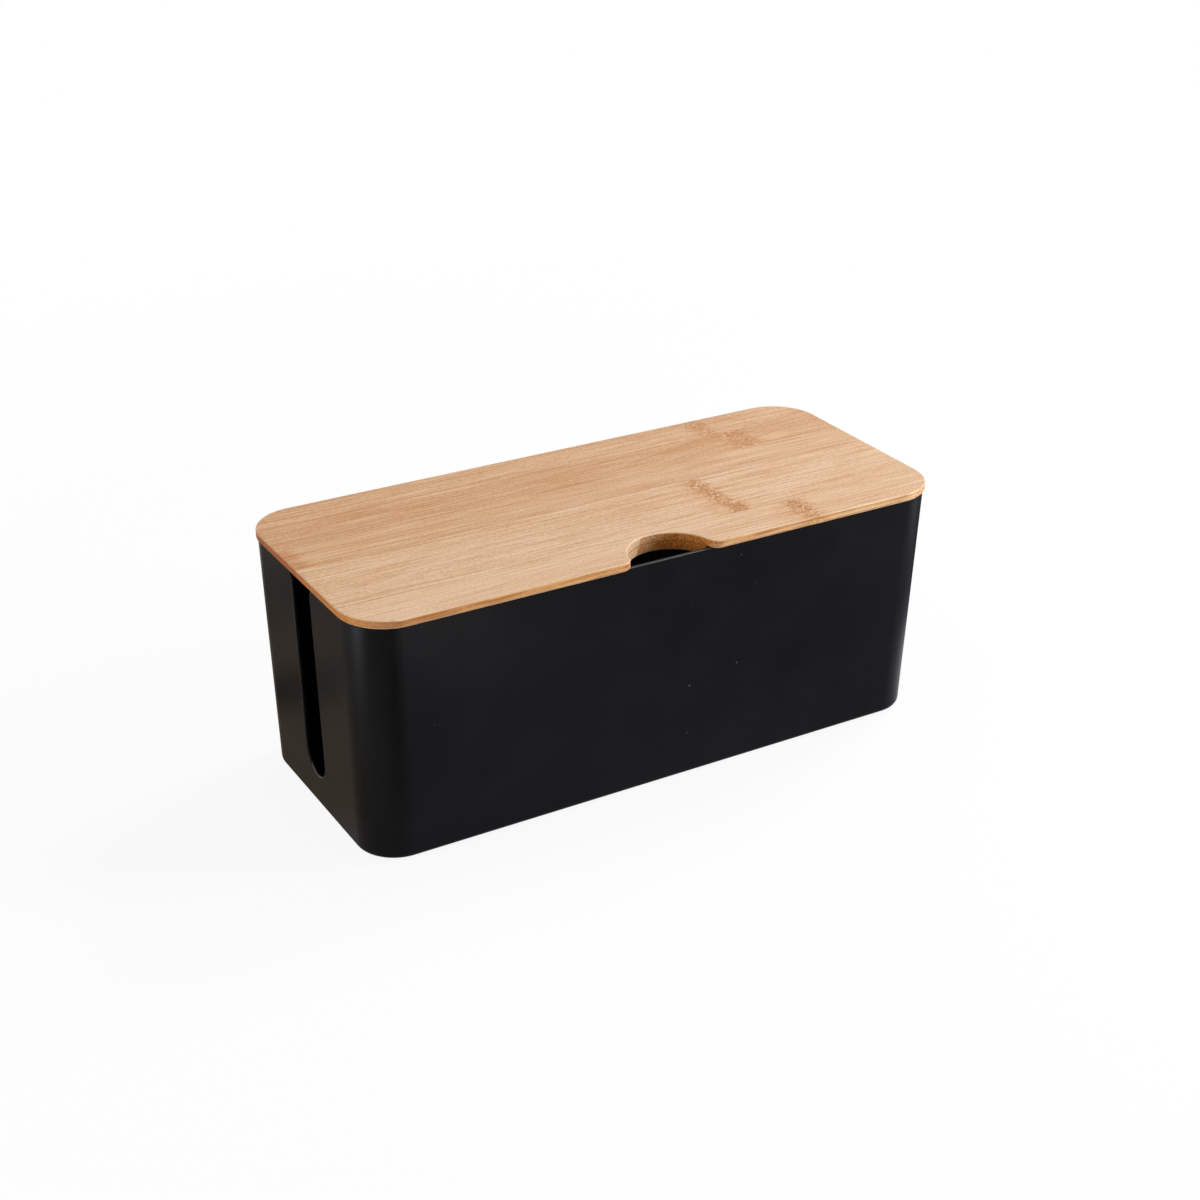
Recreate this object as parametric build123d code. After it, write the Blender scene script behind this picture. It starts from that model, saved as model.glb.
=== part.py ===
from build123d import *
import os

# Cable management box: a moulded plastic tub on four rubber feet, closed by a lift-off
# bamboo lid. X runs along the box, -Y is the front with the finger notch, +Z is up.
# The origin is on the surface the feet stand on, under the middle of the box.
# All lengths are in millimetres.

# Lid: two layers of glued staves, a plate that lies on the rim and a plug that drops inside it
LID_LENGTH = 320.0
LID_DEPTH = 136.0
LID_CORNER_R = 24.0
PLATE_THICKNESS = 4.0
PLUG_THICKNESS = 5.0
TOP_ARRIS_R = 0.7
UNDERSIDE_BREAK = 0.6
PLUG_BREAK = 0.5

# How far the plate stands out past the rim of the tub, and the play of the plug inside it
END_OVERHANG = 1.1
SIDE_OVERHANG = 2.5
PLUG_PLAY = 1.2

# Staves: their pitch, and the land left between the notch and the first glue joint behind it
STAVE_PITCH = 22.4
PLATE_NOTCH_LAND = 1.8
PLUG_NOTCH_LAND = 6.4
NARROWEST_STAVE = 8.0

# Notch: a half circle in the front edge of the lid, with rounded mouth corners
NOTCH_R = 22.0
NOTCH_MOUTH_R = 6.0

# Tub: walls that lean in from the rim to the base
TUB_HEIGHT = 122.0
WALL = 2.0
FLOOR = 2.2
END_LEAN = 3.4
SIDE_LEAN = 2.3
CORNER_R = 20.2
BASE_EDGE_R = 2.5
FLOOR_COVE_R = 2.5
RIM_EDGE_R = 0.8
INNER_EDGE_BREAK = 0.4
LARGEST_EDGE_SHARE = 0.45

# Slots: one in each end wall, open at the rim, with a round bottom and a flared mouth
SLOT_WIDTH = 20.5
SLOT_SILL = 17.0
SLOT_FLARE_R = 6.0

# Feet: rubber discs glued into shallow pockets in the underside
FOOT_R = 6.0
FOOT_PROUD = 1.2
FOOT_INSET = 22.0
POCKET_DEPTH = 0.8
POCKET_PLAY = 0.2

# Clear length that a cutting tool runs on past the stock
CUT_PAST = 10.0

RIM_LENGTH = LID_LENGTH - 2 * END_OVERHANG
RIM_DEPTH = LID_DEPTH - 2 * SIDE_OVERHANG
BASE_LENGTH = RIM_LENGTH - 2 * END_LEAN
BASE_DEPTH = RIM_DEPTH - 2 * SIDE_LEAN
RIM_Z = FOOT_PROUD + TUB_HEIGHT
LID_TOP_Z = RIM_Z + PLATE_THICKNESS
PLUG_BOTTOM_Z = RIM_Z - PLUG_THICKNESS
PLUG_LENGTH = RIM_LENGTH - 2 * (WALL + PLUG_PLAY)
PLUG_DEPTH = RIM_DEPTH - 2 * (WALL + PLUG_PLAY)
PLUG_CORNER_R = CORNER_R - WALL - PLUG_PLAY


def drafted_block(bottom, top, inset):
    """A block between two heights above the underside, whose walls lean as the tub's do
    and are drawn in by inset: what two trapezoids, seen from the front and the end, share."""
    front = []
    end = []
    for side, height in ((-1, bottom), (1, bottom), (1, top), (-1, top)):
        lean = height / TUB_HEIGHT
        z = FOOT_PROUD + height
        front.append((side * (BASE_LENGTH / 2 + END_LEAN * lean - inset), z))
        end.append((side * (BASE_DEPTH / 2 + SIDE_LEAN * lean - inset), z))
    along_y = extrude(Plane.XZ * Polygon(*front, align=None), amount=RIM_DEPTH, both=True)
    along_x = extrude(Plane.YZ * Polygon(*end, align=None), amount=RIM_LENGTH, both=True)
    block = along_y & along_x
    corners = block.edges().filter_by(lambda edge: edge.bounding_box().size.Z > (top - bottom) / 2)
    return fillet(corners, CORNER_R - inset)


def tub_body():
    """The drafted outside of the tub with its rounded base edge, before it is hollowed."""
    body = drafted_block(0, TUB_HEIGHT, 0)
    return fillet(body.edges().group_by(Axis.Z)[0], BASE_EDGE_R)


def tub_hollow():
    """The space inside the tub, run on past the rim, with a cove around the floor."""
    hollow = drafted_block(FLOOR, TUB_HEIGHT + CUT_PAST, WALL)
    return fillet(hollow.edges().group_by(Axis.Z)[0], FLOOR_COVE_R)


def slot_cutter():
    """A bar along X with the slot's profile, which cuts both end walls."""
    sill_z = FOOT_PROUD + SLOT_SILL
    round_r = SLOT_WIDTH / 2
    round_z = sill_z + round_r
    top_z = RIM_Z + CUT_PAST
    straight = Pos(0, (round_z + top_z) / 2) * Rectangle(SLOT_WIDTH, top_z - round_z)
    profile = straight + Pos(0, round_z) * Circle(round_r)
    return extrude(Plane.YZ * profile, amount=LID_LENGTH / 2 + CUT_PAST, both=True)


def crosses_wall(edge):
    """Whether an edge of the rim runs straight across an end wall along X."""
    size = edge.bounding_box().size
    return edge.geom_type == GeomType.LINE and size.X > WALL / 2 and edge.length < 2 * WALL


def flare_slots(body):
    """Round the four rim corners where the slots open at the top."""
    top_edges = body.edges().group_by(Axis.Z)[-1]
    return fillet(top_edges.filter_by(crosses_wall), SLOT_FLARE_R)


def rim_edges(body, outer):
    """The rim's edges along its outer or its inner side, without those across the wall."""
    mid_wall = drafted_block(0, TUB_HEIGHT + CUT_PAST, WALL / 2)
    rim_faces = body.faces().filter_by(Axis.Z).group_by(Axis.Z)[-1]
    along_wall = rim_faces.edges().filter_by(crosses_wall, reverse=True)
    return along_wall.filter_by(lambda edge: mid_wall.is_inside(edge @ 0.5) != outer)


def ease_rim(body):
    """Round the rim's outer edge and break its inner one. Both run on around the slots."""
    rounded = fillet(rim_edges(body, outer=True), min(RIM_EDGE_R, LARGEST_EDGE_SHARE * WALL))
    break_size = min(INNER_EDGE_BREAK, LARGEST_EDGE_SHARE * WALL)
    return chamfer(rim_edges(rounded, outer=False), break_size)


def foot_places():
    """Each foot's name and centre in plan."""
    x = BASE_LENGTH / 2 - FOOT_INSET
    y = BASE_DEPTH / 2 - FOOT_INSET
    return {
        "foot_front_left": (-x, -y),
        "foot_front_right": (x, -y),
        "foot_rear_left": (-x, y),
        "foot_rear_right": (x, y),
    }


def foot_pocket(x, y):
    """The shallow round pocket that a foot is glued into."""
    depth = FOOT_PROUD + POCKET_DEPTH
    return Pos(x, y, depth / 2) * Cylinder(FOOT_R + POCKET_PLAY, depth)


def foot(x, y):
    """A rubber disc that fills its pocket's depth and stands proud of the underside."""
    height = FOOT_PROUD + POCKET_DEPTH
    return Pos(x, y, height / 2) * Cylinder(FOOT_R, height)


def tub():
    """The moulded tub: drafted walls, coved floor, end slots and foot pockets."""
    body = tub_body() - tub_hollow() - slot_cutter()
    body = ease_rim(flare_slots(body))
    for x, y in foot_places().values():
        body -= foot_pocket(x, y)
    return body


def lid_outline():
    """The lid seen from above: rounded corners and the notch with its eased mouth."""
    notch = Pos(0, -LID_DEPTH / 2) * Circle(NOTCH_R)
    outline = RectangleRounded(LID_LENGTH, LID_DEPTH, LID_CORNER_R) - notch
    mouth_corners = outline.vertices().sort_by(lambda vertex: abs(vertex.X))[:2]
    return fillet(mouth_corners, NOTCH_MOUTH_R)


def plug_outline():
    """The plug seen from above: the rim's inside less its play, cut by the same notch."""
    return RectangleRounded(PLUG_LENGTH, PLUG_DEPTH, PLUG_CORNER_R) & lid_outline()


def plate_board():
    """The upper layer before it is sawn into staves. Its lower arris is broken only where
    it overhangs, so the notch's wall runs on unbroken from the plate into the plug."""
    board = extrude(Pos(0, 0, RIM_Z) * lid_outline(), amount=PLATE_THICKNESS)
    rounded = fillet(board.edges().group_by(Axis.Z)[-1], TOP_ARRIS_R)
    eased = chamfer(rounded.edges().group_by(Axis.Z)[0], UNDERSIDE_BREAK)
    return eased + extrude(Pos(0, 0, RIM_Z) * plug_outline(), amount=UNDERSIDE_BREAK)


def plug_board():
    """The lower layer before it is sawn into staves, with its lower arris broken."""
    board = extrude(Pos(0, 0, PLUG_BOTTOM_Z) * plug_outline(), amount=PLUG_THICKNESS)
    return chamfer(board.edges().group_by(Axis.Z)[0], PLUG_BREAK)


def stave_edges(depth, notch_land):
    """Y of the front edge, every glue joint and the rear edge of a layer of that depth."""
    edges = [-depth / 2]
    joint = NOTCH_R + notch_land - LID_DEPTH / 2
    while joint < depth / 2 - NARROWEST_STAVE:
        edges.append(joint)
        joint += STAVE_PITCH
    return edges + [depth / 2]


def staves(board, layer, edges):
    """The board parted along its glue joints, numbered from the front."""
    pieces = {}
    for number, (front, rear) in enumerate(zip(edges, edges[1:]), start=1):
        strip = Pos(0, (front + rear) / 2, LID_TOP_Z) * Box(LID_LENGTH, rear - front, LID_TOP_Z)
        pieces[f"{layer}_stave_{number}"] = board & strip
    return pieces


def build():
    """Write every piece of the box to its own file."""
    os.makedirs("parts", exist_ok=True)
    pieces = {"tub": tub()}
    for name, (x, y) in foot_places().items():
        pieces[name] = foot(x, y)
    pieces |= staves(plate_board(), "lid_plate", stave_edges(LID_DEPTH, PLATE_NOTCH_LAND))
    pieces |= staves(plug_board(), "lid_plug", stave_edges(PLUG_DEPTH, PLUG_NOTCH_LAND))
    for name, solid in pieces.items():
        export_step(solid, f"parts/{name}.step")


build()
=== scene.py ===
"""Looks of the cable management box: a black moulded tub on rubber feet under a bamboo lid.

Every finish is a procedural material on Object coordinates, which are those of the part itself: X runs
along the box, -Y is the front with the notch and +Z is up. Finishes are written in millimetres, and
objects, lamps and the camera in metres.
"""

import logging
import math
from dataclasses import dataclass
from enum import Enum
from typing import Mapping, Optional, Sequence, Union

import bpy
import numpy as np
from mathutils import Matrix, Vector


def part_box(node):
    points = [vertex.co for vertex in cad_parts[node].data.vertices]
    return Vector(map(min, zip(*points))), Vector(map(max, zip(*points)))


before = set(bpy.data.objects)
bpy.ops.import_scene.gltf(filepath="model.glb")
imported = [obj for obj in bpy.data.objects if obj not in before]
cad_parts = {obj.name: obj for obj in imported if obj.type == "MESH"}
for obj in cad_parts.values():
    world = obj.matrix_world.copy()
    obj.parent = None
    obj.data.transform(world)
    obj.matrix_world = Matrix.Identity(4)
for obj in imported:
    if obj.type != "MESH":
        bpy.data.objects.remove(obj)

LOG = logging.getLogger("cable_box")
MM_PER_M = 1000.0

Colour = tuple[float, float, float]
Point = tuple[float, float, float]
Step = tuple[float, float]

WHITE = (1.0, 1.0, 1.0)
NOISE_SPREAD: Point = (7.31, -3.17, 5.53)
CELL_SPREAD: Point = (3.91, 6.07, -2.39)


def srgb(red: int, green: int, blue: int) -> Colour:
    """Turn an 8-bit display colour into the linear one that shaders take.

    Formula: a channel c in 0 to 1 becomes ((c + 0.055) / 1.055) to the power 2.4, or c / 12.92 near black.

    Args:
        red, green, blue: display values from 0 to 255.

    Returns:
        The linear colour, each channel from 0 to 1.
    """
    shares = np.array((red, green, blue)) / 255.0
    light = np.where(shares > 0.04045, ((shares + 0.055) / 1.055) ** 2.4, shares / 12.92)
    return tuple(float(channel) for channel in light)


# ---------------------------------------------------------------------------------------------------
# Shader arithmetic
# ---------------------------------------------------------------------------------------------------


class Operation(Enum):
    """What a Math or a Vector Math node works out, by Blender's own name."""

    ADD = "ADD"
    SUBTRACT = "SUBTRACT"
    MULTIPLY = "MULTIPLY"
    DIVIDE = "DIVIDE"
    POWER = "POWER"
    ABSOLUTE = "ABSOLUTE"
    MAXIMUM = "MAXIMUM"
    SCALE = "SCALE"
    MULTIPLY_ADD = "MULTIPLY_ADD"


class Blend(Enum):
    """How one colour is laid over another, by Blender's own name."""

    MIX = "MIX"
    MULTIPLY = "MULTIPLY"


class Signal:
    """A shader socket that can be written in arithmetic. Each operator adds one Math node."""

    def __init__(self, graph: "Graph", socket: bpy.types.NodeSocket) -> None:
        """Wrap an output socket.

        Args:
            graph: the node graph that the socket belongs to.
            socket: the output socket.
        """
        self.graph = graph
        self.socket = socket

    def __add__(self, other: "Value") -> "Signal":
        """Sum of the two."""
        return self.graph.math(Operation.ADD, self, other)

    __radd__ = __add__

    def __sub__(self, other: "Value") -> "Signal":
        """This one less the other."""
        return self.graph.math(Operation.SUBTRACT, self, other)

    def __rsub__(self, other: "Value") -> "Signal":
        """The other less this one."""
        return self.graph.math(Operation.SUBTRACT, other, self)

    def __mul__(self, other: "Value") -> "Signal":
        """Product of the two."""
        return self.graph.math(Operation.MULTIPLY, self, other)

    def __truediv__(self, other: "Value") -> "Signal":
        """This one divided by the other."""
        return self.graph.math(Operation.DIVIDE, self, other)

    def __pow__(self, other: "Value") -> "Signal":
        """This one to the power of the other."""
        return self.graph.math(Operation.POWER, self, other)

    def __abs__(self) -> "Signal":
        """Distance from zero."""
        return self.graph.math(Operation.ABSOLUTE, self)

    def at_least(self, other: "Value") -> "Signal":
        """The larger of the two."""
        return self.graph.math(Operation.MAXIMUM, self, other)

    def rises(self, low: float, high: float) -> "Signal":
        """A smooth step: 0 below low, 1 above high, and 3t^2 - 2t^3 between them.

        Args:
            low: where the step starts.
            high: where the step ends.

        Returns:
            The step, from 0 to 1.
        """
        settings = {"interpolation_type": "SMOOTHSTEP"}
        sockets = {"Value": self, "From Min": low, "From Max": high, "To Min": 0.0, "To Max": 1.0}
        return self.graph.signal("ShaderNodeMapRange", settings, sockets, "Result")

    def falls(self, low: float, high: float) -> "Signal":
        """The smooth step turned over: 1 below low and 0 above high."""
        return 1.0 - self.rises(low, high)


Value = Union[Signal, float]
Input = Union[Signal, float, Sequence[float]]


class Graph:
    """The node graph of a material or a world, and the few ways in which nodes are added to it."""

    def __init__(self, owner: Union[bpy.types.Material, bpy.types.World]) -> None:
        """Empty the owner's graph, ready for new nodes.

        Args:
            owner: the material or world to fill.
        """
        owner.use_nodes = True
        self.tree = owner.node_tree
        self.tree.nodes.clear()

    def node(
        self, kind: str, settings: Mapping[str, object], sockets: Mapping[Union[str, int], Input]
    ) -> bpy.types.Node:
        """Add any node.

        Args:
            kind: the node's Blender type.
            settings: attributes such as operation, set first. A ramp takes "stops".
            sockets: input socket name or number to its value or link.

        Returns:
            The new node.
        """
        made = self.tree.nodes.new(kind)
        for name, choice in settings.items():
            if name == "stops":
                self._set_stops(made.color_ramp, choice)
            else:
                setattr(made, name, choice)
        for key, given in sockets.items():
            if isinstance(given, Signal):
                self.tree.links.new(given.socket, made.inputs[key])
            else:
                made.inputs[key].default_value = given
        return made

    @staticmethod
    def _set_stops(ramp: bpy.types.ColorRamp, stops: Sequence[tuple[float, Colour]]) -> None:
        """Give a colour ramp its stops.

        Args:
            ramp: the ramp, which starts with two stops.
            stops: place and linear colour of each stop, in rising order.
        """
        while len(ramp.elements) < len(stops):
            ramp.elements.new(1.0)
        for element, (place, colour) in zip(ramp.elements, stops):
            element.position = place
            element.color = (*colour, 1.0)

    def signal(
        self,
        kind: str,
        settings: Mapping[str, object],
        sockets: Mapping[Union[str, int], Input],
        output: Union[str, int] = 0,
    ) -> Signal:
        """Add any node and wrap one of its outputs.

        Args:
            kind, settings, sockets: as for node.
            output: the output socket's name or number.

        Returns:
            The wrapped output.
        """
        return Signal(self, self.node(kind, settings, sockets).outputs[output])

    def math(self, operation: Operation, *values: Value) -> Signal:
        """Add one Math node.

        Args:
            operation: the node's operation.
            values: its inputs in order.

        Returns:
            The result.
        """
        return self.signal("ShaderNodeMath", {"operation": operation.value}, dict(enumerate(values)))

    def vector_math(self, operation: Operation, sockets: Mapping[Union[str, int], Input]) -> Signal:
        """Add one Vector Math node whose result is a vector.

        Args:
            operation: the node's operation.
            sockets: its inputs by number, or "Scale".

        Returns:
            The resulting vector.
        """
        return self.signal("ShaderNodeVectorMath", {"operation": operation.value}, sockets, "Vector")

    def place(self) -> Signal:
        """Place on the part as a vector in millimetres."""
        metres = self.signal("ShaderNodeTexCoord", {}, {}, "Object")
        return self.vector_math(Operation.SCALE, {0: metres, "Scale": MM_PER_M})

    def facing(self) -> Signal:
        """Direction that the surface faces, in the part's own axes."""
        return self.signal("ShaderNodeTexCoord", {}, {}, "Normal")

    def rays(self) -> tuple[Signal, Signal]:
        """Tell apart the rays that see a surface from those that only carry its light.

        Returns:
            Whether glossy surfaces look, and whether these, the camera or clear surfaces do.
        """
        path = self.node("ShaderNodeLightPath", {}, {}).outputs
        glossy = Signal(self, path["Is Glossy Ray"])
        seen = Signal(self, path["Is Camera Ray"]).at_least(glossy)
        return glossy, seen.at_least(Signal(self, path["Is Transmission Ray"]))

    def parts(self, vector: Signal) -> tuple[Signal, Signal, Signal]:
        """The three coordinates of a vector."""
        split = self.node("ShaderNodeSeparateXYZ", {}, {0: vector})
        return tuple(Signal(self, output) for output in split.outputs)

    def vector(self, x: Value, y: Value, z: Value) -> Signal:
        """A vector from three numbers."""
        return self.signal("ShaderNodeCombineXYZ", {}, {0: x, 1: y, 2: z})

    @staticmethod
    def length(x: Signal, y: Signal) -> Signal:
        """Length of a flat vector: the root of x squared plus y squared."""
        return (x * x + y * y) ** 0.5

    def moved(self, place: Signal, per_mm: Point, seed: float, spread: Point) -> Signal:
        """Place counted in features of a pattern, and moved so that two uses of it differ.

        Args:
            place: place in millimetres.
            per_mm: features per millimetre along each axis.
            seed: how far the pattern is moved.
            spread: features by which a seed of 1 moves it along each axis.

        Returns:
            The place.
        """
        shift = tuple(seed * step for step in spread)
        return self.vector_math(Operation.MULTIPLY_ADD, {0: place, 1: per_mm, 2: shift})

    def ramp(self, value: Signal, stops: Sequence[tuple[float, Colour]]) -> Signal:
        """Colour looked up in a row of stops.

        Args:
            value: where to look, from 0 to 1.
            stops: place and colour of each stop.

        Returns:
            The colour.
        """
        return self.signal("ShaderNodeValToRGB", {"stops": stops}, {0: value}, "Color")

    def blend(self, first: Input, second: Input, share: Value, how: Blend = Blend.MIX) -> Signal:
        """Mix two colours.

        Args:
            first, second: colours or links.
            share: how much of the second is used.
            how: how it is laid on.

        Returns:
            The mixed colour.
        """
        settings = {"data_type": "RGBA", "blend_type": how.value, "clamp_factor": True}
        sockets = {0: share, 6: self._opaque(first), 7: self._opaque(second)}
        return self.signal("ShaderNodeMix", settings, sockets, 2)

    @staticmethod
    def _opaque(colour: Input) -> Input:
        """A plain colour with its alpha, or the link as it is."""
        return colour if isinstance(colour, Signal) else (*colour, 1.0)

    def bump(self, height: Signal, depth_mm: float) -> Signal:
        """Tilt the normal by a height map.

        Args:
            height: the height, from 0 to 1.
            depth_mm: how deep 1 is.

        Returns:
            The tilted normal.
        """
        sockets = {"Strength": 1.0, "Distance": depth_mm / MM_PER_M, "Height": height}
        return self.signal("ShaderNodeBump", {}, sockets, "Normal")

    def finish(self, constants: Mapping[str, Input], changing: Mapping[str, Signal]) -> None:
        """Close a material with one Principled shader.

        Args:
            constants: values that are the same all over, set on the shader's own sockets.
            changing: links for what changes over the surface.
        """
        shader = self.node("ShaderNodeBsdfPrincipled", {}, {**constants, **changing})
        self.node("ShaderNodeOutputMaterial", {}, {"Surface": Signal(self, shader.outputs[0])})


# ---------------------------------------------------------------------------------------------------
# Finishes
# ---------------------------------------------------------------------------------------------------


class Painting:
    """A material while it is painted: its graph, the place on the part, its seed and the colour so far."""

    def __init__(self, name: str, seed: float = 0.0) -> None:
        """Start a white material.

        Args:
            name: the material's name.
            seed: what moves all of its patterns.
        """
        self.material = bpy.data.materials.new(name)
        self.graph = Graph(self.material)
        self.place = self.graph.place()
        self.x, self.y, self.z = self.graph.parts(self.place)
        self.seed = seed
        self.colour: Input = WHITE

    def lay(self, colour: Input, share: Value, how: Blend = Blend.MIX) -> None:
        """Lay a colour over the one so far.

        Args:
            colour: the colour.
            share: how strongly, from 0 to 1.
            how: how it is laid on.
        """
        self.colour = self.graph.blend(self.colour, colour, share, how)

    def finish(
        self, constants: Mapping[str, Input], changing: Mapping[str, Signal], height: Signal, depth: float
    ) -> bpy.types.Material:
        """Close the material with its colour and a bump.

        Args:
            constants, changing: as for Graph.finish.
            height: the bump's height, from 0 to 1.
            depth: how deep 1 is, in millimetres.

        Returns:
            The material.
        """
        bump = self.graph.bump(height, depth)
        self.graph.finish(constants, {"Base Color": self.colour, "Normal": bump, **changing})
        return self.material


@dataclass(frozen=True)
class Noise:
    """Smooth noise from 0 to 1: features per millimetre along each axis, finer layers and self-bending."""

    per_mm: Point
    seed: float
    detail: float = 2.0
    swirl: float = 0.0
    roughness: float = 0.55

    def over(self, paint: Painting, place: Optional[Signal] = None) -> Signal:
        """Lay the noise over a material.

        Args:
            paint: the material, whose seed is added to the noise's own.
            place: where the noise looks, in millimetres, if not at the place on the part.

        Returns:
            The noise.
        """
        seed = paint.seed + self.seed
        sockets = {
            "Vector": paint.graph.moved(place or paint.place, self.per_mm, seed, NOISE_SPREAD),
            "Scale": 1.0,
            "Detail": self.detail,
            "Roughness": self.roughness,
            "Distortion": self.swirl,
        }
        return paint.graph.signal("ShaderNodeTexNoise", {"noise_dimensions": "3D"}, sockets)


@dataclass(frozen=True)
class Cells:
    """Scattered cells: how many per millimetre along each axis, and a seed."""

    per_mm: Point
    seed: float

    def over(self, paint: Painting, place: Optional[Signal] = None) -> tuple[Signal, Signal]:
        """Lay the cells over a material.

        Args:
            paint, place: as for Noise.over.

        Returns:
            How far each cell's middle is, and the cell's own colour.
        """
        seed = paint.seed + self.seed
        moved = paint.graph.moved(place or paint.place, self.per_mm, seed, CELL_SPREAD)
        cells = paint.graph.node("ShaderNodeTexVoronoi", {}, {"Vector": moved, "Scale": 1.0})
        return Signal(paint.graph, cells.outputs["Distance"]), Signal(paint.graph, cells.outputs["Color"])


@dataclass(frozen=True)
class Knuckle:
    """A brown, mottled band where the cane's wall had a joint. Sizes in millimetres."""

    middle: float
    width: float
    strength: float
    softness: float = 1.6
    lean: float = 0.0
    halo: float = 9.0
    swirled: float = 1.0
    pale_spot: Optional[tuple[float, float]] = None


@dataclass(frozen=True)
class Strip:
    """What tells one glued strip of bamboo from its neighbours."""

    name: str
    seed: float
    front: float
    rear: float
    tone: float
    lengthwise: float
    streaks: float
    front_seam: float
    rear_seam: float
    knuckle: Optional[Knuckle] = None


@dataclass(frozen=True)
class Streaks:
    """One size of lengthwise streak, and its weight in the wood's tone."""

    noise: Noise
    weight: float


@dataclass(frozen=True)
class BambooFinish:
    """Sanded bamboo under a thin clear seal, with light and shade painted on its edges. Sizes in
    millimetres.

    A Step says where a mask turns on or off, and a share how strongly one colour is laid over another.
    """

    notch_radius: float
    half_length: float
    half_width: float
    lid_top: float
    layer_joint: float

    specular: float = 0.25
    coat: float = 0.03
    coat_roughness: float = 0.22
    roughness: float = 0.50
    fine_polish: float = 0.12
    middle_dulling: float = 0.06
    fibre_depth: float = 0.05

    shades: tuple[tuple[float, Colour], ...] = (
        (0.0, srgb(189, 134, 81)),
        (0.5, srgb(213, 171, 132)),
        (1.0, srgb(230, 199, 167)),
    )
    mid_tone: float = 0.52
    fine: Streaks = Streaks(Noise((0.028, 2.15, 2.15), 0.0, detail=2.5), weight=2.30)
    middle: Streaks = Streaks(Noise((0.010, 0.42, 0.42), 1.7, detail=2.5), weight=0.60)
    broad: Streaks = Streaks(Noise((0.004, 0.09, 0.09), 3.1, detail=1.0), weight=0.46)
    pores: Streaks = Streaks(Noise((0.700, 1.90, 1.90), 4.1), weight=1.38)
    wander: Noise = Noise((0.011, 0.03, 0.03), 9.0, detail=1.0)
    wander_reach: float = 1.2
    streak_brown: Colour = srgb(174, 115, 62)
    vessels: Cells = Cells((0.06, 0.95, 0.95), 0.0)
    vessel_edge: Step = (0.05, 0.30)
    vessel_share: float = 0.30
    long_streaks: Noise = Noise((0.0050, 0.80, 0.4), 5.3, detail=1.5)
    long_streak_edge: Step = (0.58, 0.74)

    knuckle_brown: Colour = srgb(200, 141, 84)
    knuckle_dark: Colour = srgb(166, 101, 47)
    knuckle_pale: Colour = srgb(240, 206, 164)
    knuckle_red: Colour = srgb(176, 110, 68)
    ragged: Noise = Noise((0.06, 0.34, 0.3), 11.0, detail=3.0)
    ragged_reach: float = 10.0
    fibre_reach: float = 9.0
    patches: Noise = Noise((0.07, 0.30, 0.3), 12.0, detail=2.5)
    patch_edge: Step = (0.42, 0.58)
    rim_line: float = 0.1
    halo_tail: float = 6.0
    halo_share: float = 0.60
    band_share: float = 0.62
    swirls: Noise = Noise((0.40, 0.56, 0.5), 13.0, swirl=1.6)
    dark_edge: Step = (0.430, 0.510)
    dark_share: float = 0.70
    pale_edge: Step = (0.530, 0.610)
    pale_share: float = 0.62
    red_edge: Step = (0.40, 0.55)
    spot_radii: tuple[float, float] = (9.0, 4.5)
    spot_raggedness: float = 2.0
    spot_edge: Step = (0.0, 1.2)
    spot_share: float = 0.35
    knuckle_relief: float = 1.5

    seam_brown: Colour = srgb(140, 84, 40)
    seam_edge: Step = (0.078, 0.416)
    seam_gaps: Noise = Noise((0.03, 0.0, 0.0), 17.0)
    seam_gap_edge: Step = (0.25, 0.62)
    seam_least: float = 0.4
    joint_edge: Step = (0.15, 0.45)
    joint_share: float = 0.6

    # Pale wood, also used as painted light: a highlight on the arrises, light on the notch's lit wall, a
    # line low on the sides.
    pale_and_highlight: Colour = srgb(244, 212, 172)
    arris_start: Step = (0.12, 0.40)
    arris_stop: Step = (0.90, 0.99)
    arris_share: float = 0.32
    arris_coat: float = 0.2
    blunt_edge: Step = (0.25, 0.60)
    blunt_loss: float = 0.7

    side_edge: Step = (0.30, 0.62)
    end_edge: Step = (0.05, 0.95)
    end_zone: Step = (30.0, 20.0)
    notch_zone: Step = (0.4, 1.6)

    # Painted light and shade on the notch's wall: its shadow, its lit part and its darker left end.
    notch_shade_tint: Colour = (0.90, 0.68, 0.46)
    painted_shade_brown: Colour = srgb(190, 135, 85)
    notch_shadow_edge: Step = (-5.9, -5.0)
    notch_shadow_slope: float = 0.3
    lit_edge: Step = (3.5, 9.5)
    lit_slope: float = 0.9
    lit_share: float = 0.85
    deeper_edge: Step = (0.0, 12.0)
    notch_shade_share: float = 0.4
    deeper_notch_shade: float = 0.6
    painted_light_edge: Step = (-18.0, -10.0)
    painted_light_share: float = 0.50
    painted_shade_end: Step = (-20.5, -15.5)
    painted_shade_share: float = 0.45
    fibre_rows: Noise = Noise((1.0, 1.0, 0.55), 27.0)
    dark_row_edge: Step = (0.50, 0.55)
    dark_row_share: float = 0.45
    deeper_rows: float = 0.45
    pale_row_edge: Step = (0.50, 0.56)
    pale_row_share: float = 0.30

    # Edge tints from left to right; the paling towards the right is partly painted light.
    side_tints_and_light: tuple[tuple[float, Colour], ...] = (
        (0.05, (0.68, 0.40, 0.16)),
        (0.30, (0.98, 0.74, 0.42)),
        (0.50, (1.00, 0.80, 0.46)),
        (0.95, (1.00, 0.97, 0.80)),
    )
    mouth_start: Step = (-3.0, 0.0)
    mouth_end: Step = (26.0, 28.5)
    mouth_share: float = 0.3
    mouth_row_edge: Step = (0.46, 0.54)
    mouth_row_share: float = 0.5
    side_fibres: Noise = Noise((0.045, 1.1, 1.3), 31.0)
    side_fibre_edge: Step = (0.40, 0.50)
    side_fibre_share: float = 0.70
    # A pale line low on the sides, stronger towards the right.
    pale_line: float = 1.45
    pale_line_slope: float = 0.003
    pale_line_edge: Step = (0.25, 0.80)
    pale_line_share: float = 0.25
    pale_line_share_slope: float = 0.0011
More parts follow.
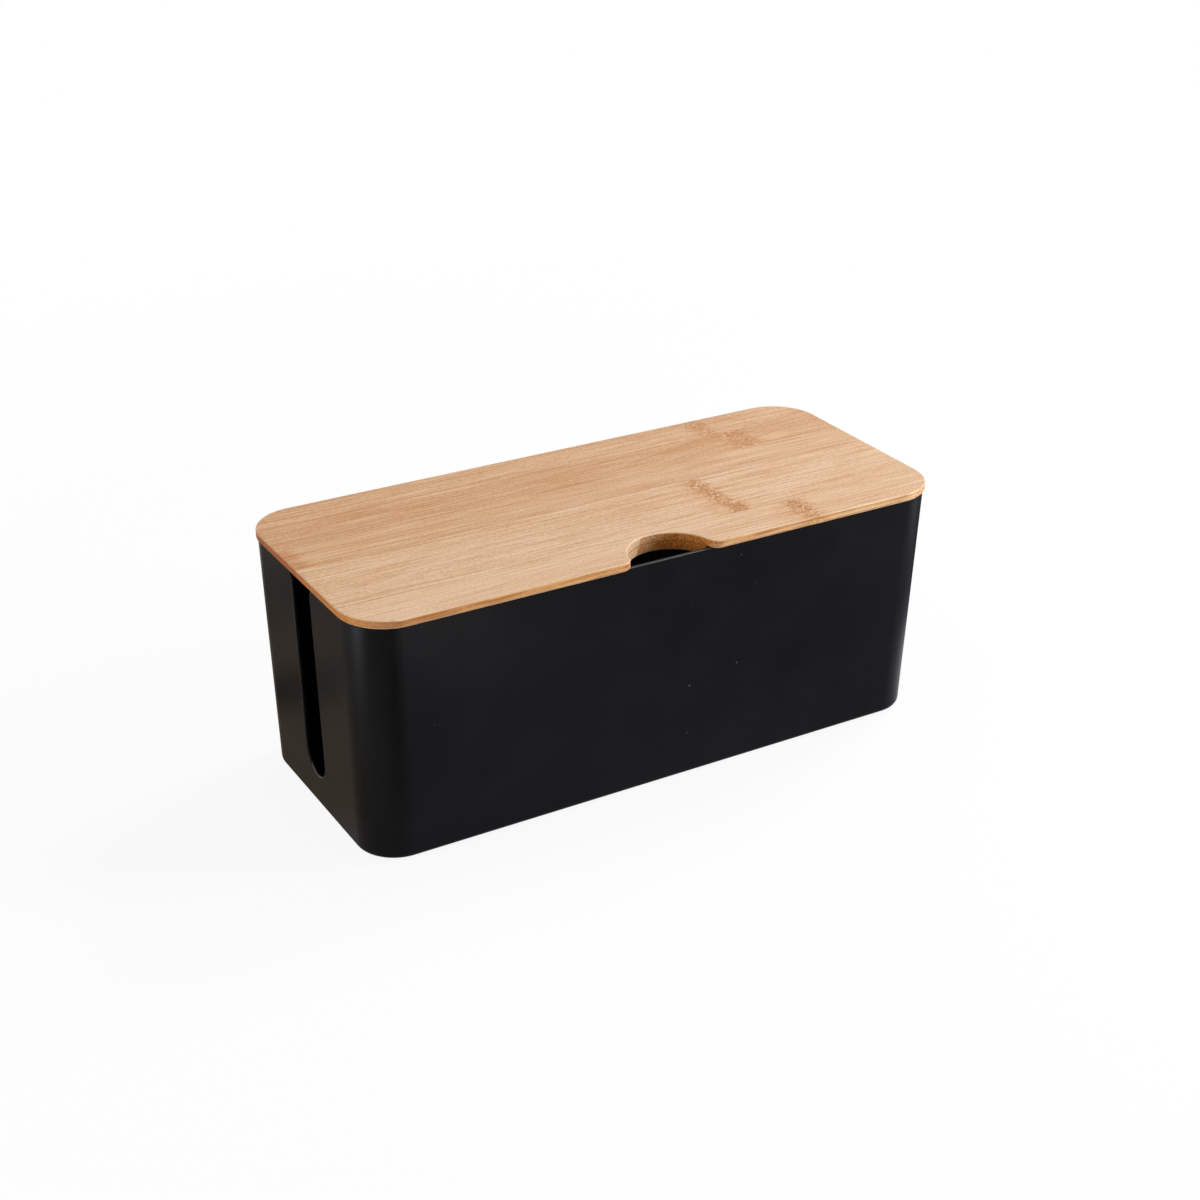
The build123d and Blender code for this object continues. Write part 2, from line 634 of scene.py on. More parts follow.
    # Painted shade: a brown line under the arris on the sides.
    shaded_top: Step = (0.35, 0.65)
    shaded_foot: Step = (1.0, 1.5)
    shaded_start: Step = (0.0, 70.0)
    shaded_share: float = 0.45

    end_tints: tuple[tuple[float, Colour], ...] = (
        (0.05, (0.82, 0.55, 0.18)),
        (0.25, (0.71, 0.41, 0.15)),
        (0.50, (0.66, 0.36, 0.14)),
        (0.80, (0.53, 0.26, 0.08)),
    )
    # The left end is darkened more than the right: partly end grain, partly painted shade.
    end_share: float = 0.62
    end_share_slope: float = 0.38
    cut_fibres: Noise = Noise((1.1, 1.1, 0.8), 23.0)
    cut_fibre_edge: Step = (0.46, 0.54)
    cut_fibre_share: float = 0.50

    def material(self, strip: Strip) -> bpy.types.Material:
        """Make the material of one strip.

        Args:
            strip: the strip and its own traits.

        Returns:
            The material.
        """
        paint = Painting(f"bamboo_{strip.name}", strip.seed)
        grain = self._straightened(paint)
        fine = self.fine.noise.over(paint, grain)
        middle = self.middle.noise.over(paint, grain)
        self._lay_wood(paint, strip, grain, fine, middle)
        relief = fine * 0.5 + middle * 0.5
        if strip.knuckle is not None:
            relief = relief + self._lay_knuckle(paint, strip, strip.knuckle, fine)
        self._lay_seams(paint, strip)
        self._lay_edges(paint)
        roughness = self.roughness - fine * self.fine_polish + middle * self.middle_dulling
        coat = self._arris(paint) * self.arris_coat + self.coat
        return paint.finish(
            {"Specular IOR Level": self.specular, "Coat Roughness": self.coat_roughness},
            {"Roughness": roughness, "Coat Weight": coat},
            relief,
            self.fibre_depth,
        )

    def _straightened(self, paint: Painting) -> Signal:
        """Place along and across the fibres, which wander sideways by about half a millimetre.

        Args:
            paint: the material.

        Returns:
            The place with the wander taken out.
        """
        wander = self.wander.over(paint) - 0.5
        sideways = paint.graph.vector(0.0, wander * self.wander_reach, wander * (self.wander_reach / 2))
        return paint.graph.vector_math(Operation.ADD, {0: paint.place, 1: sideways})

    def _lay_wood(self, paint: Painting, strip: Strip, grain: Signal, fine: Signal, middle: Signal) -> None:
        """Lay clear wood: streaks of three sizes, pores, dark vessels and long brown streaks.

        Args:
            paint: the material.
            strip: the strip's own traits.
            grain: place along and across the fibres.
            fine, middle: the two finer sizes of streak.
        """
        layers = (
            (fine, self.fine),
            (middle, self.middle),
            (self.broad.noise.over(paint, grain), self.broad),
            (self.pores.noise.over(paint), self.pores),
        )
        tone = paint.x * (strip.lengthwise / self.half_length) + (self.mid_tone + strip.tone)
        for pattern, streaks in layers:
            tone = tone + (pattern - 0.5) * streaks.weight
        paint.colour = paint.graph.ramp(tone, self.shades)
        vessels = self.vessels.over(paint, grain)[0].falls(*self.vessel_edge)
        paint.lay(self.streak_brown, vessels * self.vessel_share)
        long_streaks = self.long_streaks.over(paint, grain).rises(*self.long_streak_edge)
        paint.lay(self.streak_brown, long_streaks * strip.streaks)

    def _lay_knuckle(self, paint: Painting, strip: Strip, knuckle: Knuckle, fine: Signal) -> Signal:
        """Lay the knuckle over the wood. Its squiggles are the contour lines of a swirled noise.

        Args:
            paint: the material.
            strip: the strip.
            knuckle: its knuckle.
            fine: the fine fibres, which carry the brown out sideways.

        Returns:
            How far its pale squiggles stand out and its dark ones sink.
        """
        ragged = self.ragged.over(paint) - 0.5
        midline = (strip.front + strip.rear) / 2
        offset = paint.x - knuckle.middle - (paint.y - midline) * knuckle.lean
        offset = offset + ragged * self.ragged_reach + (fine - 0.5) * self.fibre_reach
        away = abs(offset)
        half = knuckle.width / 2
        band = away.falls(half - knuckle.softness, half + knuckle.softness)
        rim = abs(away - half).falls(self.rim_line, knuckle.softness)
        patchy = self.patches.over(paint).rises(*self.patch_edge)
        halo = offset.rises(-half - knuckle.halo, -half) * offset.falls(half, half + self.halo_tail)
        swirls = self.swirls.over(paint)
        dark = swirls.falls(*self.dark_edge) * knuckle.swirled
        pale = swirls.rises(*self.pale_edge) * knuckle.swirled
        strength = knuckle.strength
        paint.lay(self.knuckle_brown, halo * patchy * (self.halo_share * strength))
        paint.lay(self.knuckle_brown, band * (self.band_share * strength))
        streaky = band * (1.0 - knuckle.swirled) * fine.falls(*self.red_edge)
        paint.lay(self.knuckle_red, streaky * strength)
        squiggles = (band * dark).at_least(rim * dark)
        paint.lay(self.knuckle_dark, squiggles * (self.dark_share * strength))
        paint.lay(self.knuckle_pale, band * pale * (self.pale_share * strength))
        if knuckle.pale_spot is not None:
            across = (paint.x - knuckle.pale_spot[0]) / self.spot_radii[0] + ragged * self.spot_raggedness
            deep = (paint.y - knuckle.pale_spot[1]) / self.spot_radii[1] + ragged
            spot = (across * across + deep * deep).falls(*self.spot_edge)
            paint.lay(self.knuckle_pale, spot * self.spot_share)
        return band * (pale - dark) * self.knuckle_relief

    def _lay_seams(self, paint: Painting, strip: Strip) -> None:
        """Draw the glue joints at the strip's front and rear as thin brown lines.

        Args:
            paint: the material.
            strip: the strip, with each seam's strength.
        """
        broken = self.seam_gaps.over(paint).rises(*self.seam_gap_edge)
        shown = broken * (1.0 - self.seam_least) + self.seam_least
        for line, strength in ((strip.front, strip.front_seam), (strip.rear, strip.rear_seam)):
            if strength > 0.0:
                seam = abs(paint.y - line).falls(*self.seam_edge)
                paint.lay(self.seam_brown, seam * shown * strength)

    def _arris(self, paint: Painting) -> Signal:
        """Mask of the eased edges: wherever the surface faces neither straight up or down nor sideways."""
        upright = abs(paint.graph.parts(paint.graph.facing())[2])
        return upright.rises(*self.arris_start) * upright.falls(*self.arris_stop)

    def _lay_edges(self, paint: Painting) -> None:
        """Tint the sides and sawn ends, paint light and shade on the notch, and lighten every arris with
        pale wood and a painted highlight.

        Args:
            paint: the material.
        """
        facing_x, _, facing_z = paint.graph.parts(paint.graph.facing())
        side = abs(facing_z).falls(*self.side_edge)
        endways = abs(facing_x)
        from_notch = paint.graph.length(paint.x, paint.y + self.half_width)
        in_notch = side * from_notch.falls(*(self.notch_radius + out for out in self.notch_zone))
        by_end = abs(paint.x).rises(*(self.half_length - inwards for inwards in self.end_zone))
        ends = side * endways.rises(*self.end_edge) * by_end
        self._lay_notch(paint, in_notch)
        self._lay_sides(paint, side * (1.0 - in_notch) - ends)
        self._lay_ends(paint, ends)
        glue = side * abs(paint.z - self.layer_joint).falls(*self.joint_edge)
        paint.lay(self.seam_brown, glue * self.joint_share)
        # Every arris is lightened: partly pale sanded wood, partly a painted highlight, weaker where it
        # faces the ends.
        blunt = 1.0 - endways.rises(*self.blunt_edge) * self.blunt_loss
        paint.lay(self.pale_and_highlight, self._arris(paint) * blunt * self.arris_share)

    def _side_tint_and_light(self, paint: Painting) -> Signal:
        """Tint of the long sides and the notch, from amber at the left to pale at the right: partly own
        colour, partly painted light.
        """
        return paint.graph.ramp(paint.x / (self.half_length * 2.0) + 0.5, self.side_tints_and_light)

    def _lay_notch(self, paint: Painting, wall: Signal) -> None:
        """Paint light and shade on the notch's wall: lit at its left, and in shadow with rows of fibre ends
        at its right.

        Args:
            paint: the material.
            wall: mask of the wall.
        """
        x = paint.x
        below_top = self.lid_top - paint.z
        # Painted shadow over the wall's right part; its edge slants with depth, as a cast shadow's does.
        notch_shadow = wall * (x + below_top * self.notch_shadow_slope).rises(*self.notch_shadow_edge)
        lit_wall = wall - notch_shadow
        # Painted light: the shadow's tint is weaker left of a second slanting line.
        lit = (x + below_top * self.lit_slope).falls(*self.lit_edge)
        paint.lay(self._side_tint_and_light(paint), notch_shadow * (1.0 - lit * self.lit_share), Blend.MULTIPLY)
        # Painted light on the lit part, and painted shade at its left end.
        paint.lay(self.pale_and_highlight, lit_wall * x.rises(*self.painted_light_edge) * self.painted_light_share)
        paint.lay(self.painted_shade_brown, lit_wall * x.falls(*self.painted_shade_end) * self.painted_shade_share)
        # More painted shade in the shadow, darker towards the right.
        deeper = x.rises(*self.deeper_edge)
        notch_shade = notch_shadow * (deeper * self.deeper_notch_shade + self.notch_shade_share)
        paint.lay(self.notch_shade_tint, notch_shade, Blend.MULTIPLY)
        rows = self.fibre_rows.over(paint)
        dark_rows = notch_shadow * rows.rises(*self.dark_row_edge)
        paint.lay(self.knuckle_dark, dark_rows * (deeper * self.deeper_rows + self.dark_row_share))
        paint.lay(self.knuckle_brown, lit_wall * rows.rises(*self.pale_row_edge) * self.pale_row_share)

    def _lay_sides(self, paint: Painting, outer: Signal) -> None:
        """Tint the long sides, partly their own colour and partly painted light, and draw what runs along
        them.

        That is rows of fibre ends by the notch, long fibres, a pale line low on the side and, to the right,
        painted shade under the arris.

        Args:
            paint: the material.
            outer: mask of the long sides.
        """
        x = paint.x
        paint.lay(self._side_tint_and_light(paint), outer, Blend.MULTIPLY)
        from_middle = abs(x)
        mouth = outer * from_middle.rises(*(self.notch_radius + out for out in self.mouth_start))
        mouth = mouth * from_middle.falls(*self.mouth_end)
        rows = self.fibre_rows.over(paint).rises(*self.mouth_row_edge)
        paint.lay(self.knuckle_dark, mouth * (rows * self.mouth_row_share + self.mouth_share))
        fibres = self.side_fibres.over(paint).falls(*self.side_fibre_edge)
        paint.lay(self.knuckle_dark, outer * fibres * self.side_fibre_share)
        # A pale line low on the side.
        from_line = paint.z - self.layer_joint - (x * self.pale_line_slope + self.pale_line)
        share = x * self.pale_line_share_slope + self.pale_line_share
        paint.lay(self.pale_and_highlight, outer * abs(from_line).falls(*self.pale_line_edge) * share)
        # Painted shade under the arris, from the middle to the right.
        below_top = self.lid_top - paint.z
        shaded = below_top.rises(*self.shaded_top) * below_top.falls(*self.shaded_foot)
        shaded = shaded * x.rises(*self.shaded_start)
        paint.lay(self.painted_shade_brown, outer * shaded * self.shaded_share)

    def _lay_ends(self, paint: Painting, ends: Signal) -> None:
        """Darken the sawn ends towards the rear, the left more than the right (partly end grain, partly
        painted shade), and dot them with cut fibres.

        Args:
            paint: the material.
            ends: mask of the sawn ends.
        """
        tint = paint.graph.ramp(paint.y / (self.half_width * 2.0) + 0.5, self.end_tints)
        # Painted shade in part: the left end is darkened more than the right.
        rightwards = paint.x * (self.end_share_slope / self.half_length)
        paint.lay(tint, ends * (self.end_share - rightwards), Blend.MULTIPLY)
        dots = self.cut_fibres.over(paint).rises(*self.cut_fibre_edge)
        paint.lay(self.knuckle_dark, ends * dots * self.cut_fibre_share)


@dataclass(frozen=True)
class PlasticFinish:
    """Satin black moulded plastic with a faint texture, dust, scuffs and painted highlights on its edges.
    Sizes in millimetres.
    """

    half_length: float
    slot_half_width: float
    black: Colour = (0.0040, 0.0040, 0.0045)
    bloom: Colour = (0.0060, 0.0060, 0.0066)
    worn: Colour = (0.030, 0.030, 0.033)
    # Painted highlight along the rounded rim, base edge and slot edges.
    edge_highlight: Colour = (0.220, 0.220, 0.230)
    dust: Colour = (0.16, 0.16, 0.17)
    specular: float = 0.12
    mottle: Noise = Noise((0.03, 0.03, 0.03), 1.0, detail=3.0)
    bloom_edge: Step = (0.35, 0.70)
    flow: Noise = Noise((0.012, 0.012, 0.22), 2.0, detail=3.0)
    grain: Noise = Noise((1.5, 1.5, 1.5), 3.0)
    scuffs: Noise = Noise((0.035, 0.035, 1.1), 4.0, detail=3.0)
    scuff_edge: Step = (0.66, 0.80)
    scuffed_edge: Step = (0.45, 0.70)
    scuff_share: float = 0.30
    edge_highlight_share: float = 0.65
    rim_start: Step = (0.60, 0.74)
    rim_stop: Step = (0.84, 0.95)
    outward_edge: Step = (0.0, 8.0)
    slot_zone: Step = (0.4, 1.4)
    end_zone: Step = (8.0, 6.0)
    slot_start: Step = (0.70, 0.85)
    slot_stop: Step = (0.92, 0.99)
    slot_highlight: float = 0.25
    specks: Cells = Cells((0.11, 0.11, 0.11), 5.0)
    speck_edge: Step = (0.03, 0.06)
    chosen_edge: Step = (0.80, 0.90)
    roughness: float = 0.33
    grain_roughness: float = 0.06
    flow_roughness: float = 0.08
    scuff_roughness: float = 0.06
    speck_roughness: float = 0.3
    grain_depth: float = 0.010
    sag_depth: float = 0.10
    flow_height: float = 0.25

    def material(self) -> bpy.types.Material:
        """Make the material.

        Returns:
            The material.
        """
        paint = Painting("moulded_black_plastic")
        paint.colour = self.black
        mottle = self.mottle.over(paint)
        flow = self.flow.over(paint)
        grain = self.grain.over(paint)
        scuffs = self.scuffs.over(paint).rises(*self.scuff_edge)
        specks = self._specks(paint)
        paint.lay(self.bloom, mottle.rises(*self.bloom_edge))
        paint.lay(self.worn, scuffs * mottle.rises(*self.scuffed_edge) * self.scuff_share)
        # Painted highlight along the rounded edges.
        paint.lay(self.edge_highlight, self._edges(paint) * self.edge_highlight_share)
        paint.lay(self.dust, specks)
        roughness = self.roughness + (grain - 0.5) * self.grain_roughness
        roughness = roughness + (flow - 0.5) * self.flow_roughness
        roughness = roughness + scuffs * self.scuff_roughness + specks * self.speck_roughness
        height = grain * (self.grain_depth / self.sag_depth) + flow * self.flow_height
        constants = {"Specular IOR Level": self.specular}
        return paint.finish(constants, {"Roughness": roughness}, height, self.sag_depth)

    def _edges(self, paint: Painting) -> Signal:
        """Mask of the rounded rim, the base edge and the slots' edges, which get a painted highlight.

        Args:
            paint: the material.

        Returns:
            The mask, which is fainter on the slots' edges.
        """
        facing_x, facing_y, facing_z = paint.graph.parts(paint.graph.facing())
        upright = abs(facing_z)
        endways = abs(facing_x)
        outwards = paint.x * facing_x + paint.y * facing_y
        rounded = upright.rises(*self.rim_start) * upright.falls(*self.rim_stop)
        rounded = rounded * outwards.rises(*self.outward_edge)
        by_slot = abs(paint.y).falls(*(self.slot_half_width + out for out in self.slot_zone))
        at_end = abs(paint.x).rises(*(self.half_length - inwards for inwards in self.end_zone))
        slot_edge = by_slot * at_end * endways.falls(*self.slot_stop) * endways.rises(*self.slot_start)
        return rounded.at_least(slot_edge * self.slot_highlight)

    def _specks(self, paint: Painting) -> Signal:
        """Sparse specks of dust: a dot in the few cells whose own random value is high.

        Args:
            paint: the material.

        Returns:
            The mask.
        """
        away, own = self.specks.over(paint)
        return away.falls(*self.speck_edge) * paint.graph.parts(own)[0].rises(*self.chosen_edge)


@dataclass(frozen=True)
class RubberFinish:
    """Matte black rubber with a fine pebbled skin. Sizes in millimetres."""

    black: Colour = (0.020, 0.020, 0.021)
    dusty: Colour = (0.050, 0.049, 0.047)
    specular: float = 0.3
    pebbles: Noise = Noise((2.4, 2.4, 2.4), 6.0)
    pebble_depth: float = 0.03
    pebble_roughness: float = 0.16
    roughness: float = 0.72
    dust: Noise = Noise((0.35, 0.35, 0.35), 7.0, detail=3.0)
    dust_edge: Step = (0.42, 0.72)

    def material(self) -> bpy.types.Material:
        """Make the material.

        Returns:
            The material.
        """
        paint = Painting("foot_rubber")
        paint.colour = self.black
        pebbles = self.pebbles.over(paint)
        paint.lay(self.dusty, self.dust.over(paint).rises(*self.dust_edge))
        constants = {"Specular IOR Level": self.specular}
        roughness = self.roughness + pebbles * self.pebble_roughness
        return paint.finish(constants, {"Roughness": roughness}, pebbles, self.pebble_depth)


# ---------------------------------------------------------------------------------------------------
# Sub-assemblies
# ---------------------------------------------------------------------------------------------------


def dress(node: str, material: bpy.types.Material) -> None:
    """Give a CAD node its material.

    Args:
        node: the node's name.
        material: what it is made of.
    """
    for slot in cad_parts[node].material_slots:
        slot.material = material
    LOG.info("%s: %s", node, material.name)


@dataclass
class Tub:
    """The moulded tub, open at the top, with a cable slot in each end."""

    node: str = "tub"
    slot_width: float = 20.5

    def dress(self) -> None:
        """Give the tub its plastic."""
        half_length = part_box(self.node)[1].x * MM_PER_M
        dress(self.node, PlasticFinish(half_length, self.slot_width / 2).material())


@dataclass
class Feet:
    """The four rubber feet under the tub."""

    prefix: str = "foot_"

    def dress(self) -> None:
        """Give the feet their rubber."""
        rubber = RubberFinish().material()
        for node in sorted(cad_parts):
            if node.startswith(self.prefix):
                dress(node, rubber)


@dataclass
class Lid:
    """The bamboo lid: a plate of six strips on a plug of six strips. Sizes in millimetres."""

    plate: str = "lid_plate_stave_"
    plug: str = "lid_plug_stave_"
    notch_radius: float = 22.0
    seed_step: float = 2.3

    def dress(self) -> None:
        """Give each strip wood of its own."""
        low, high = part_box(self.plate + "1")
        finish = BambooFinish(
            notch_radius=self.notch_radius,
            half_length=high.x * MM_PER_M,
            half_width=-low.y * MM_PER_M,
            lid_top=high.z * MM_PER_M,
            layer_joint=low.z * MM_PER_M,
        )
        for strip in self.plate_strips() + self.plug_strips():
            dress(strip.name, finish.material(strip))

    def plate_strips(self) -> list[Strip]:
        """The upper layer's strips from front to rear.

        Returns:
            The strips.
        """
        knuckles = (
            Knuckle(80.8, 9.0, 1.0, halo=15.0),
            Knuckle(53.6, 8.8, 1.0, lean=-0.12, halo=16.0),
            Knuckle(52.0, 8.5, 1.0, halo=7.0),
            Knuckle(-158.0, 9.0, 1.0, softness=4.0, halo=5.0, swirled=0.15),
            Knuckle(104.0, 15.0, 0.90, softness=4.0, halo=18.0, swirled=0.80, pale_spot=(123.0, 28.0)),
            Knuckle(95.0, 9.0, 0.65, softness=2.5, halo=6.0),
        )
        tones = (0.11, 0.09, 0.06, -0.07, -0.25, -0.12)
        lengthwise = (-0.07, -0.04, 0.01, 0.04, 0.06, 0.07)
        streaks = (0.12, 0.15, 0.15, 0.28, 0.45, 0.28)
        seams = (0.0, 0.30, 0.08, 0.46, 0.30, 0.16, 0.0)
        return self._strips(self.plate, tones, lengthwise, streaks, seams, knuckles, first_seed=1.0)

    def plug_strips(self) -> list[Strip]:
        """The lower layer's strips from front to rear.

        Returns:
            The strips.
        """
        knuckles = (
            Knuckle(-64.0, 12.0, 0.8),
            Knuckle(118.0, 13.0, 0.8, lean=0.1),
            None,
            Knuckle(-12.0, 14.0, 0.9),
            Knuckle(61.0, 12.0, 0.6),
            None,
        )
        tones = (-0.10, -0.04, -0.12, 0.0, -0.06, -0.10)
        lengthwise = (0.05, -0.05, 0.08, -0.08, 0.04, -0.04)
        streaks = (0.35, 0.30, 0.40, 0.25, 0.35, 0.30)
        seams = (0.0, 0.40, 0.45, 0.35, 0.50, 0.40, 0.0)
        return self._strips(self.plug, tones, lengthwise, streaks, seams, knuckles, first_seed=31.0)

    def _strips(
        self,
        layer: str,
        tones: Sequence[float],
        lengthwise: Sequence[float],
        streaks: Sequence[float],
        seams: Sequence[float],
        knuckles: Sequence[Optional[Knuckle]],
        first_seed: float,
    ) -> list[Strip]:
        """Put one layer's strips together, with their places read from the CAD nodes.

        Args:
            layer: the start of the nodes' names.
            tones, lengthwise, streaks, knuckles: one for each strip.
            seams: strength of each joint line, front edge and rear edge included.
            first_seed: seed of the first strip.

        Returns:
            The strips from front to rear.
        """
        strips = []
        for index, (tone, slope, streak, knuckle) in enumerate(zip(tones, lengthwise, streaks, knuckles)):
            name = f"{layer}{index + 1}"
            low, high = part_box(name)
            strips.append(
                Strip(
                    name=name,
                    seed=first_seed + self.seed_step * index,
                    front=low.y * MM_PER_M,
                    rear=high.y * MM_PER_M,
                    tone=tone,
                    lengthwise=slope,
                    streaks=streak,
                    front_seam=seams[index],
                    rear_seam=seams[index + 1],
                    knuckle=knuckle,
                )
            )
        return strips


# ---------------------------------------------------------------------------------------------------
# Studio
# ---------------------------------------------------------------------------------------------------


@dataclass(frozen=True)
class Card:
    """A soft-edged glowing card on the floor that only glossy surfaces mirror, as a painted reflection.
    Sizes in millimetres.
    """

    middle: tuple[float, float]
    radii: tuple[float, float]
    colour: Colour
    core: float = 0.2


@dataclass(frozen=True)
class Lamp:
    """A square softbox. Place and size in metres, power in watts."""

    name: str
    place: Point
    size: float
    power: float
    colour: Colour = WHITE
    mirrored: bool = True


@dataclass
class Studio:
    """The pale floor, the white surroundings, the lamps and the camera. Sizes in metres."""

    floor_radius: float = 9.0
    floor_colour: Colour = (0.92, 0.92, 0.92)
    rings: int = 24
    spokes: int = 72
    sky_light: float = 0.40
    floor_white_share: float = 0.90
    all_white_mm: Step = (320.0, 900.0)
    aim: Point = (0.00043, 0.0, 0.07296)
    azimuth: float = 30.8
    elevation: float = 26.46
    roll: float = 0.48
    distance: float = 1.0146
    focal_length: float = 60.73
    sensor_width: float = 36.0
    nearest: float = 0.01
    cards: tuple[Card, ...] = (
        Card((-40.0, -120.0), (640.0, 420.0), (0.545, 0.55, 0.635), core=0.75),
        Card((400.0, 20.0), (260.0, 260.0), (0.25, 0.25, 0.31), core=0.45),
        Card((140.0, -125.0), (100.0, 80.0), (0.38, 0.39, 0.49)),
        Card((195.0, -50.0), (70.0, 60.0), (1.00, 0.96, 1.05), core=0.1),
        Card((90.0, -250.0), (420.0, 90.0), (0.27, 0.28, 0.35), core=0.1),
        Card((318.0, 64.0), (135.0, 108.0), (0.04, 0.04, 0.05), core=0.55),
        Card((405.0, -150.0), (75.0, 90.0), (2.10, 2.15, 2.60)),
        Card((-215.0, 120.0), (130.0, 250.0), (0.31, 0.24, 0.18), core=0.6),
        Card((-245.0, 250.0), (100.0, 120.0), (0.12, 0.09, 0.07), core=0.3),
        Card((-330.0, -70.0), (190.0, 90.0), (0.50, 0.47, 0.44)),
        Card((-300.0, -240.0), (150.0, 150.0), (0.34, 0.34, 0.36)),
        Card((-150.0, -230.0), (75.0, 190.0), (0.02, 0.02, 0.02)),
        Card((-435.0, -50.0), (100.0, 115.0), (8.2, 8.5, 9.2)),
        Card((-34.0, -274.0), (84.0, 50.0), (3.40, 3.44, 3.60)),
        Card((-197.0, 113.0), (48.0, 36.0), (0.02, 0.02, 0.02)),
    )
    lamps: tuple[Lamp, ...] = (
        Lamp("key_light", (2.18, 0.62, 2.33), 0.90, 43.0),
        Lamp("side_light", (1.28, -0.60, 0.57), 0.50, 17.0, mirrored=False),
        Lamp("left_fill", (-1.55, 0.10, 0.50), 0.60, 7.5, (1.0, 0.88, 0.74), mirrored=False),
    )

    def build(self) -> None:
        """Make the floor, the surroundings, the lamps and the camera."""
        self.make_floor()
        self.make_surroundings()
        for lamp in self.lamps:
            self.make_lamp(lamp)
        self.make_camera()
        bpy.context.scene.view_settings.view_transform = "Standard"

    def make_floor(self) -> None:
        """Make the floor, a flat disc.

        Formula: the point at (u, v) is (r cos a, r sin a, 0) with r = radius u^2 and a = 2 pi v, so that
        the rings crowd towards the middle.
        """
        ring = np.linspace(0.0, 1.0, self.rings + 1)[1:] ** 2 * self.floor_radius
        angle = np.linspace(0.0, 2.0 * math.pi, self.spokes, endpoint=False)
        grid = ring[:, None, None] * np.stack([np.cos(angle), np.sin(angle), np.zeros_like(angle)], axis=-1)
        vertices = np.vstack([np.zeros((1, 3)), grid.reshape(-1, 3)])
        here = np.arange(self.spokes)
        following = np.roll(here, -1)
        inner = (np.arange(self.rings - 1) * self.spokes)[:, None] + 1
        quads = np.stack(
            [inner + here, inner + self.spokes + here, inner + self.spokes + following, inner + following],
            axis=-1,
        ).reshape(-1, 4)
        middle = np.stack([np.zeros_like(here), here + 1, following + 1], axis=-1)
        mesh = bpy.data.meshes.new("studio_floor")
        mesh.from_pydata(vertices.tolist(), [], middle.tolist() + quads.tolist())
        mesh.materials.append(self.floor_material())
        floor = bpy.data.objects.new("studio_floor", mesh)
        bpy.context.scene.collection.objects.link(floor)
        LOG.info("studio_floor: %d faces", len(mesh.polygons))

    def floor_material(self) -> bpy.types.Material:
        """Make the floor's material: white with the part's shadow, and glowing cards mirrored as painted
        reflections.

        Returns:
            The material.
        """
        made = bpy.data.materials.new("studio_floor")
        graph = Graph(made)
        gloss, seen = graph.rays()
        x, y, _ = graph.parts(graph.place())
        white_share = graph.length(x, y).rises(*self.all_white_mm) * (1.0 - self.floor_white_share)
        white_share = white_share + self.floor_white_share
        paper = graph.signal("ShaderNodeBsdfDiffuse", {}, {"Color": (*self.floor_colour, 1.0)})
        white = self._glow(graph, WHITE)
        bare = graph.signal("ShaderNodeMixShader", {}, {0: seen * white_share, 1: paper, 2: white})
        laid = self._with_cards(graph, x, y, bare)
        surface = graph.signal("ShaderNodeMixShader", {}, {0: gloss, 1: bare, 2: laid})
        graph.node("ShaderNodeOutputMaterial", {}, {"Surface": surface})
        return made

    def _with_cards(self, graph: Graph, x: Signal, y: Signal, floor: Signal) -> Signal:
        """Lay the cards on the floor in turn.

        Args:
            graph: the floor's graph.
            x, y: place on the floor.
            floor: the bare floor's shader.

        Returns:
            The shader of the floor with the cards.
        """
        for card in self.cards:
            across = (x - card.middle[0]) / card.radii[0]
            deep = (y - card.middle[1]) / card.radii[1]
            mask = graph.length(across, deep).falls(card.core, 1.0)
            sockets = {0: mask, 1: floor, 2: self._glow(graph, card.colour)}
            floor = graph.signal("ShaderNodeMixShader", {}, sockets)
        return floor

    @staticmethod
    def _glow(graph: Graph, colour: Colour) -> Signal:
        """Plain light of one colour, the same all over."""
        return graph.signal("ShaderNodeEmission", {}, {"Color": (*colour, 1.0), "Strength": 1.0})

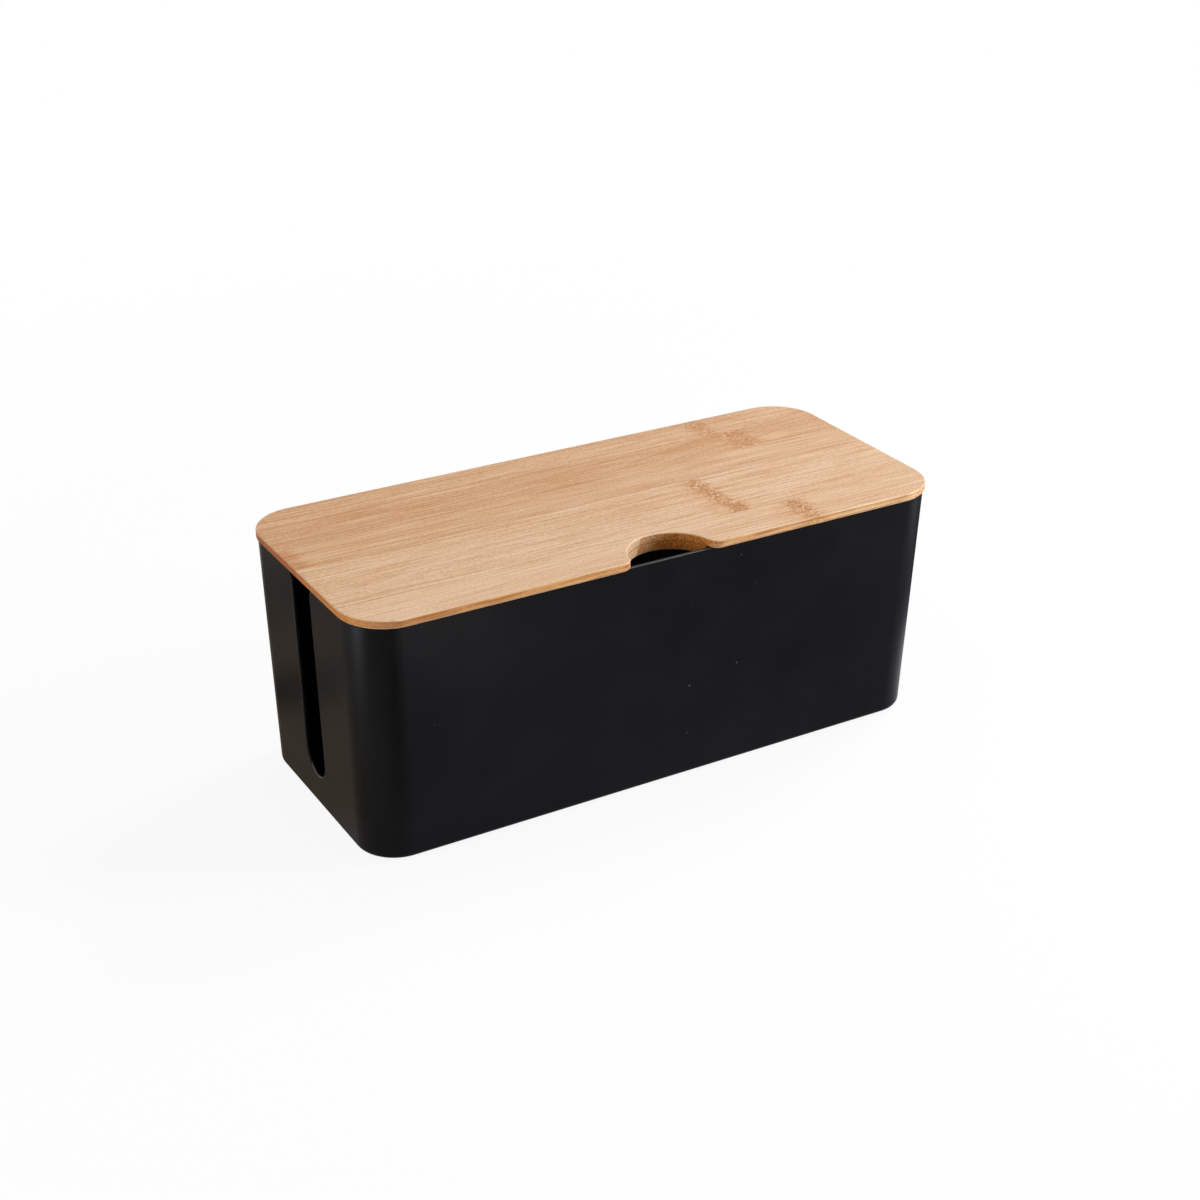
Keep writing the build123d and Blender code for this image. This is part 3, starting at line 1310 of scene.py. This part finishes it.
    def make_surroundings(self) -> None:
        """Light the part from all round, and show plain white behind it."""
        world = bpy.data.worlds.new("studio")
        bpy.context.scene.world = world
        graph = Graph(world)
        seen = graph.rays()[1]
        white = (*WHITE, 1.0)
        sky = graph.signal("ShaderNodeBackground", {}, {"Color": white, "Strength": self.sky_light})
        backdrop = graph.signal("ShaderNodeBackground", {}, {"Color": white, "Strength": 1.0})
        surface = graph.signal("ShaderNodeMixShader", {}, {0: seen, 1: sky, 2: backdrop})
        graph.node("ShaderNodeOutputWorld", {}, {"Surface": surface})

    def make_lamp(self, lamp: Lamp) -> None:
        """Hang one softbox, turned to the part.

        Args:
            lamp: the softbox.
        """
        light = bpy.data.lights.new(lamp.name, "AREA")
        light.size = lamp.size
        light.energy = lamp.power
        light.color = lamp.colour
        holder = bpy.data.objects.new(lamp.name, light)
        holder.visible_glossy = lamp.mirrored
        bpy.context.scene.collection.objects.link(holder)
        turn = (Vector(self.aim) - Vector(lamp.place)).to_track_quat("-Z", "Y")
        holder.matrix_world = Matrix.LocRotScale(Vector(lamp.place), turn, Vector((1.0, 1.0, 1.0)))

    def make_camera(self) -> None:
        """Stand the camera at the front left, above the part.

        Formula: the line of sight is (sin a cos e, cos a cos e, -sin e) for azimuth a and elevation e, the
        camera's right is level, and both right and up are then turned by the roll about the line of sight.
        """
        a, e, r = (math.radians(angle) for angle in (self.azimuth, self.elevation, self.roll))
        sight = Vector((math.sin(a) * math.cos(e), math.cos(a) * math.cos(e), -math.sin(e)))
        level = Vector((math.cos(a), -math.sin(a), 0.0))
        upright = level.cross(sight)
        right = level * math.cos(r) + upright * math.sin(r)
        up = upright * math.cos(r) - level * math.sin(r)
        camera = bpy.data.cameras.new("camera")
        camera.sensor_width = self.sensor_width
        camera.lens = self.focal_length
        camera.clip_start = self.nearest
        holder = bpy.data.objects.new("camera", camera)
        bpy.context.scene.collection.objects.link(holder)
        turn = Matrix((right, up, -sight)).transposed().to_4x4()
        holder.matrix_world = Matrix.Translation(Vector(self.aim) - sight * self.distance) @ turn
        bpy.context.scene.camera = holder


def main() -> None:
    """Dress the part and set up the studio."""
    logging.basicConfig(level=logging.INFO, format="%(name)s: %(message)s")
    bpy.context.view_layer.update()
    for sub_assembly in (Tub(), Feet(), Lid()):
        sub_assembly.dress()
    Studio().build()


if __name__ == "__main__":
    main()
